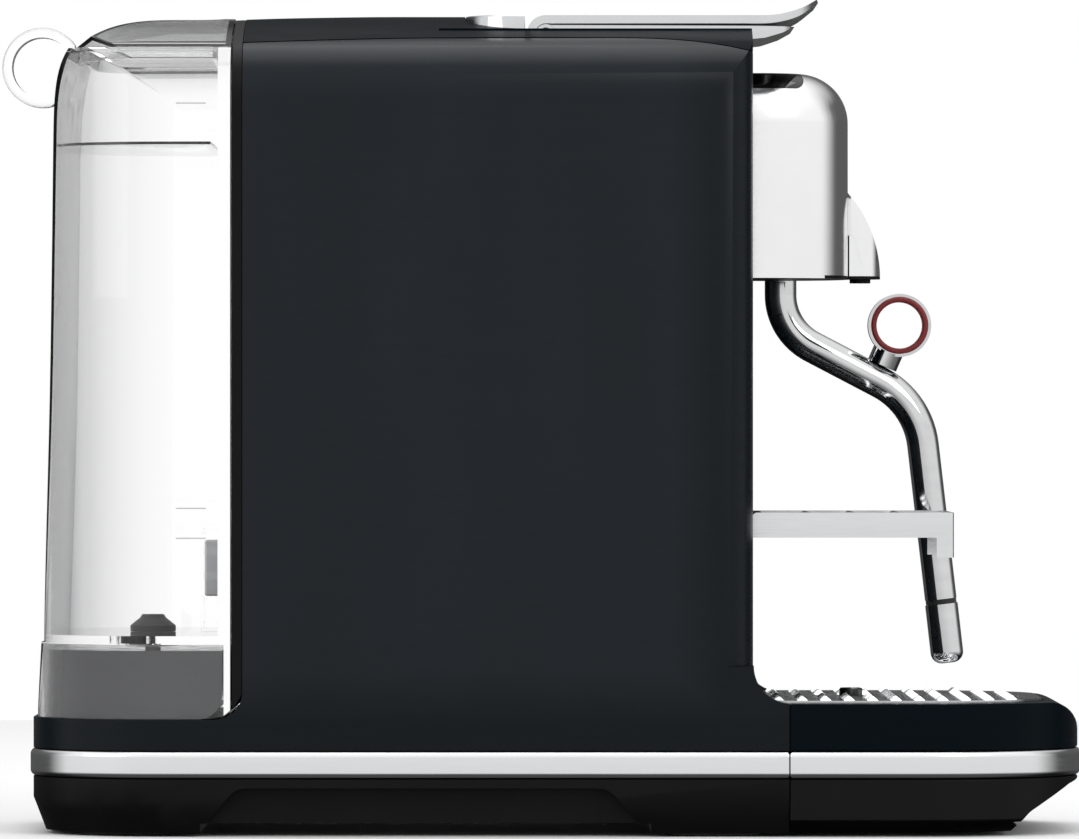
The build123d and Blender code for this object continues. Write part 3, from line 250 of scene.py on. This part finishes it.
print("materials")
enamel = satinEnamel("satin_enamel_sprayed", "#11171C", "#171E24", 0.17)
enamelDeep = satinEnamel("satin_enamel_plinth", "#020911", "#040F18", 0.05)
enamelTop = satinEnamel("satin_enamel_cover", "#03080D", "#070E14", 0.02)
blackAbs = mouldedBlack()
pedestalGrey = glossPlastic("grey_abs_polished", "#2E2F31", "#3A3B3E", 0.1)
floatGrey = glossPlastic("grey_polypropylene_moulded", "#C4C6C8", "#CDCFD1", 0.35)
glossBlack = glossPlastic("black_acrylic_polished", "#020203", "#060607", 0.05)
chrome = chromePlate("chrome_plated", "#C9CACC", "#DDDEE0", (0.06, 0.13))
polished = chromePlate("stainless_polished", "#C4C5C6", "#DCDCDD", (0.04, 0.09))
bandMetal = satinMetal("aluminium_anodised_band", "#E6E7E8", "#F0F1F2", (0.14, 0.22), (40, 40, 1))
headMetal = satinMetal("zinc_satin_plated", "#F3F3F4", "#F8F8F9", (0.16, 0.21), thread=0.8 * mm)
leverMetal = satinMetal("steel_brushed_lever", "#CFD0D1", "#DFE0E1", (0.16, 0.26), (30, 1, 1))
brushed = satinMetal("stainless_brushed", "#DCDDDE", "#EBECED", (0.16, 0.26), (30, 1, 1))
gridSteel = satinMetal("stainless_pressed", "#C9CACB", "#DEDFE0", (0.08, 0.18))
clear = clearPlastic()
rubber = softRubber("rubber_black_moulded", "#141414", "#1C1C1C", 0.6)
redSilicone = softRubber("silicone_red_moulded", "#6E060C", "#860D14", 0.42)
aluminium = castAluminium()
boardGreen = glossPlastic("board_lacquered", "#0B4A22", "#0F5C2B", 0.25)
naturalPlastic = glossPlastic("acetal_natural_moulded", "#C9C8C2", "#D8D7D2", 0.4)

finish = {
    "side_panel_left": enamel, "side_panel_right": enamel, "front_panel": enamel, "container_front": enamel,
    "rear_plinth": enamelDeep, "tray_housing": enamelDeep, "top_cover": enamelTop,
    "base_pan": blackAbs, "rear_frame": blackAbs, "head_floor": blackAbs, "coffee_nozzle": blackAbs,
    "container_bay": blackAbs, "capsule_container": blackAbs, "tray_base": blackAbs, "drip_pan": blackAbs,
    "sensor_arm": blackAbs, "inner_frame": blackAbs, "brew_frame": blackAbs, "valve_socket": blackAbs,
    "cable_gland": blackAbs, "flow_meter": blackAbs, "jug_sensor": glossBlack, "head_insert": glossBlack,
    "tank_pedestal": pedestalGrey, "level_float": floatGrey,
    "base_band": bandMetal, "tray_band": bandMetal, "hinge_cap": chrome, "lever_underside": chrome,
    "wand_socket": chrome, "head_shell": headMetal, "lever_handle": leverMetal,
    "steam_tube": polished, "wand_tip": polished, "finger_ring": polished,
    "coffee_button": polished, "steam_button": polished,
    "cup_support": brushed, "lever_pin": brushed, "lever_cranks": brushed, "lever_link": brushed,
    "extraction_plate": brushed, "drip_grid": gridSteel,
    "water_tank": clear, "tank_lid": clear, "float_cage": clear, "tank_valve": rubber,
    "rubber_feet": rubber, "wand_seal": rubber, "pump_mounts": rubber, "water_hoses": rubber,
    "ring_grip": redSilicone, "coffee_thermoblock": aluminium, "steam_thermoblock": aluminium,
    "circuit_boards": boardGreen, "water_pump": naturalPlastic, "solenoid_valve": naturalPlastic,
    "injection_block": naturalPlastic, "capsule_cage": naturalPlastic, "brew_carriage": naturalPlastic,
}
for name, material in finish.items():
    piece = nodes[name]
    piece.data.materials.clear()
    piece.data.materials.append(material)


def linked(name, mesh):
    # an object for the mesh, in the scene
    piece = bpy.data.objects.new(name, mesh)
    bpy.context.scene.collection.objects.link(piece)
    return piece


def softened(node, width):
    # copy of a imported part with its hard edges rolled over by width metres; the copy stands for the part
    look = dict(weld=2e-6, flat=math.radians(0.4), hardAngle=math.radians(35), segments=3)
    mesh = nodes[node].data.copy()
    body = bmesh.new()
    body.from_mesh(mesh)
    bmesh.ops.remove_doubles(body, verts=body.verts, dist=look["weld"])
    bmesh.ops.dissolve_limit(body, angle_limit=look["flat"], verts=body.verts, edges=body.edges)
    body.to_mesh(mesh)
    body.free()
    mesh.polygons.foreach_set("use_smooth", np.full(len(mesh.polygons), True))
    piece = linked(node + "_finish", mesh)
    roll = piece.modifiers.new("rolled_edges", "BEVEL")
    roll.width = width
    roll.segments = look["segments"]
    roll.limit_method = "ANGLE"
    roll.angle_limit = look["hardAngle"]
    roll.use_clamp_overlap = True
    shade = piece.modifiers.new("face_normals", "WEIGHTED_NORMAL")
    shade.keep_sharp = True
    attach(piece, body_of(nodes[node])[0])
    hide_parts(node)


print("rolled edges")
# how far each part's edges are rolled over, in millimetres
edgeRolls = dict(lever_handle=1.1, lever_underside=0.9, hinge_cap=0.7, cup_support=0.45, side_panel_left=0.4,
                 side_panel_right=0.4, top_cover=0.35, tray_housing=0.5, rear_plinth=0.4, front_panel=0.4,
                 container_front=0.6, base_band=0.7, tray_band=0.7, coffee_nozzle=0.5, head_floor=0.4,
                 tank_pedestal=0.7, base_pan=0.6, tray_base=0.6, wand_socket=0.6, head_shell=0.6,
                 sensor_arm=0.5, rear_frame=0.4, capsule_container=0.6, drip_pan=0.4)
for node, width in edgeRolls.items():
    softened(node, width * mm)


def roundedOutline(rear, front, halfWidth, rearRadius, frontRadius, count):
    # plan outline: straight sides joined by quarter circles, count points on each quarter, anticlockwise
    rows = []
    for x, sign, radius, start in ((front, -1, frontRadius, -90), (front, 1, frontRadius, 0),
                                   (rear, 1, rearRadius, 90), (rear, -1, rearRadius, 180)):
        turn = np.radians(np.linspace(start, start + 90, count))
        centre = (x - radius if x == front else x + radius, sign * (halfWidth - radius))
        rows.append(np.stack([centre[0] + radius * np.cos(turn), centre[1] + radius * np.sin(turn)], axis=1))
    return np.concatenate(rows)


def circleOutline(x, y, radius, count=48):
    # points at the cosine and sine of evenly spaced angles times the radius, about x, y
    turn = np.linspace(0, 2 * np.pi, count, endpoint=False)
    return np.stack([x + radius * np.cos(turn), y + radius * np.sin(turn)], axis=1)


def ringAt(outline, z):
    # outline points lifted to height z, in millimetres
    return np.concatenate([outline, np.full((len(outline), 1), z)], axis=1)


def stacked(name, rings, material, body):
    # closed solid: rings of equal length joined by walls, the first and the last one filled in
    hardAngle = math.radians(40)
    levels, count = rings.shape[:2]
    index = np.arange(levels * count).reshape(levels, count)
    after = np.roll(index, -1, axis=1)
    walls = np.stack([index[:-1], after[:-1], after[1:], index[1:]], axis=-1).reshape(-1, 4).tolist()
    caps = [index[0][::-1].tolist(), index[-1].tolist()]
    mesh = bpy.data.meshes.new(name)
    mesh.from_pydata((rings.reshape(-1, 3) * mm).tolist(), [], walls + caps)
    mesh.validate()
    mesh.polygons.foreach_set("use_smooth", np.full(len(mesh.polygons), True))
    mesh.set_sharp_from_angle(angle=hardAngle)
    mesh.materials.append(material)
    piece = linked(name, mesh)
    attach(piece, body)
    return piece


print("water, marks and caps")


def waterMaterial():
    # still water: clear, the faintest ripple, grey where it is seen edge on
    look = dict(first="#C9CCCE", second="#D6D8DA", cloud=40 * mm, ripple=6 * mm, rough=(0.0, 0.04), ior=1.33)
    material, tree, shader, coords = startMaterial("water_still", {
        "IOR": look["ior"], "Transmission Weight": 1.0})
    ripples = noise(tree, coords, look["ripple"])
    paint(tree, shader, tint(tree, noise(tree, coords, look["cloud"]), look["first"], look["second"]),
          spread(tree, ripples, *look["rough"]))
    return material


def waterFilm():
    # surface of the water in the tank: the tank's plan outline and one set in from it, joined as a thin
    # sheet whose outer edge stands above its middle, as a meniscus; millimetres
    look = dict(rear=-190.6, front=-129.8, halfWidth=93.0, rearRadius=47, frontRadius=2, inset=2.2,
                innerFrontRadius=1, corner=20, level=273.6, thickness=0.7, edge=0.2, meniscus=0.6)
    outer = roundedOutline(look["rear"], look["front"], look["halfWidth"], look["rearRadius"],
                           look["frontRadius"], look["corner"])
    inner = roundedOutline(look["rear"] + look["inset"], look["front"] - look["inset"],
                           look["halfWidth"] - look["inset"], look["rearRadius"] - look["inset"],
                           look["innerFrontRadius"], look["corner"])
    bottom = look["level"] - look["thickness"]
    rings = np.stack([ringAt(inner, bottom), ringAt(outer, bottom + look["edge"]),
                      ringAt(outer, look["level"] + look["meniscus"]), ringAt(inner, look["level"])])
    return stacked("water_surface", rings, waterMaterial(), "tank")


def levelMarks():
    # printed level lines on the near side of the tank: flat bars sunk a little into its wall; millimetres
    look = dict(lines=(289.0, 129.2, 117.4), rear=-143.4, front=-131.6, height=0.5, proud=0.12, sunk=0.3,
                wall=96.0)
    ink = glossPlastic("screen_print_grey", "#B4B6B8", "#C2C4C6", 0.5)
    face, back = -look["wall"] - look["proud"], -look["wall"] + look["sunk"]
    outline = np.array([[look["rear"], face], [look["front"], face], [look["front"], back],
                        [look["rear"], back]])
    for number, z in enumerate(look["lines"]):
        rings = np.stack([ringAt(outline, z), ringAt(outline, z + look["height"])])
        stacked("level_mark_%d" % number, rings, ink, "tank")


def sensorCap():
    # thin bright cap pressed over the top of the jug sensor: circles stacked up its side and rounded rim,
    # then down into a shallow dish; millimetres
    look = dict(x=125.6, top=56.38, radii=(4.5, 4.5, 4.2, 2.2, 0.4), drops=(0.8, 0.25, 0.0, 0.1, 0.25))
    rings = np.stack([ringAt(circleOutline(look["x"], 0, radius), look["top"] - drop)
                      for radius, drop in zip(look["radii"], look["drops"])])
    stacked("sensor_cap", rings, polished, "sensor")


film = waterFilm()
levelMarks()
sensorCap()
for piece in (film, nodes["water_tank"], nodes["tank_lid"], nodes["float_cage"]):
    piece.visible_shadow = False  # light reaches what stands inside the clear parts
    piece.visible_diffuse = False

print("stage, camera and lights")


def stageMaterial():
    # matt studio paper
    look = dict(first="#F4F4F4", second="#F8F8F8", fibre=2 * mm, rough=0.9)
    material, tree, shader, coords = startMaterial("paper_matt_white", {"Roughness": look["rough"]})
    fibres = noise(tree, coords, look["fibre"])
    tree.links.new(tint(tree, fibres, look["first"], look["second"]), shader.inputs["Base Color"])
    return material


def studioFloor():
    # one flat square, centred under the machine and a hair below its feet; metres
    look = dict(half=1.5, gap=0.0002)
    half, z = look["half"], cadLow[2] - look["gap"]
    corners = np.array([[half, -half, z], [half, half, z], [-half, half, z], [-half, -half, z]])
    mesh = bpy.data.meshes.new("studio_floor")
    mesh.from_pydata(corners.tolist(), [], [[0, 1, 2, 3]])
    mesh.materials.append(stageMaterial())
    floor = linked("studio_floor", mesh)
    floor.visible_glossy = False


def studioCamera():
    # level with the middle of the machine, square on to its near side; metres, and millimetres of lens
    look = dict(distance=4.2, height=0.1645, lens=347.3, sensor=36)
    data = bpy.data.cameras.new("camera")
    data.lens = look["lens"]
    data.sensor_width = look["sensor"]
    camera = linked("camera", data)
    camera.location = (0, -look["distance"], look["height"])
    camera.rotation_euler = (math.radians(90), 0, 0)
    bpy.context.scene.camera = camera


def studioWorld():
    # white all round; in reflections it is dark low down and behind, bright in front and overhead
    look = dict(white=1.0, fill=0.75, behind=0.10, behindFrom=0.05, behindTo=0.45, low=0.07, lowFrom=-0.45,
                lowTo=0.05, overhead=1.15, overheadFrom=0.35, overheadTo=0.8)
    world = bpy.data.worlds.new("studio")
    world.use_nodes = True
    tree = world.node_tree
    tree.nodes.clear()
    coords = addNode(tree, "ShaderNodeTexCoord").outputs["Generated"]
    axes = addNode(tree, "ShaderNodeSeparateXYZ", {}, {}, {"Vector": coords}).outputs
    paths = addNode(tree, "ShaderNodeLightPath").outputs
    depth = spread(tree, axes["Y"], 1.0, look["behind"], look["behindFrom"], look["behindTo"])
    overhead = spread(tree, axes["Z"], 0.0, 1.0, look["overheadFrom"], look["overheadTo"])
    around = addNode(tree, "ShaderNodeMix", {}, {"B": look["overhead"]},
                     {"Factor": overhead, "A": depth}).outputs["Result"]
    rise = spread(tree, axes["Z"], look["low"], 1.0, look["lowFrom"], look["lowTo"])
    mirror = addNode(tree, "ShaderNodeMath", {"operation": "MULTIPLY"}, {}, {0: around, 1: rise})
    mirrored = addNode(tree, "ShaderNodeMath", {"operation": "SUBTRACT", "use_clamp": True}, {},
                       {0: paths["Is Glossy Ray"], 1: paths["Is Transmission Ray"]})
    base = addNode(tree, "ShaderNodeMix", {}, {"A": look["white"], "B": look["fill"]},
                   {"Factor": paths["Is Diffuse Ray"]}).outputs["Result"]
    level = addNode(tree, "ShaderNodeMix", {}, {}, {"Factor": mirrored.outputs["Value"], "A": base,
                                                    "B": mirror.outputs["Value"]}).outputs["Result"]
    light = addNode(tree, "ShaderNodeBackground", {}, {"Color": (1, 1, 1, 1)}, {"Strength": level})
    addNode(tree, "ShaderNodeOutputWorld", {}, {}, {"Surface": light.outputs["Background"]})
    return world


def studioLamp(name, place, target, size, power):
    # square soft light at place, turned to face target: its pitch and heading are those of the line between
    data = bpy.data.lights.new(name, "AREA")
    data.size = size
    data.energy = power
    lamp = linked(name, data)
    lamp.location = place
    away = np.array(place) - np.array(target)
    pitch = math.atan2(math.hypot(away[0], away[1]), away[2])
    lamp.rotation_euler = (pitch, 0, math.atan2(away[1], away[0]) + math.radians(90))


studioFloor()
studioCamera()
bpy.context.scene.world = studioWorld()
bpy.context.scene.view_settings.view_transform = "Standard"
for look in (dict(name="key_front", place=(1.2, -1.6, 1.5), target=(0.1, 0, 0.15), size=1.2, power=9),
             dict(name="fill_left", place=(-1.8, -1.2, 0.9), target=(0, 0, 0.15), size=1.4, power=5),
             dict(name="top_soft", place=(0, 0.2, 2.0), target=(0, 0, 0), size=1.6, power=14)):
    studioLamp(**look)
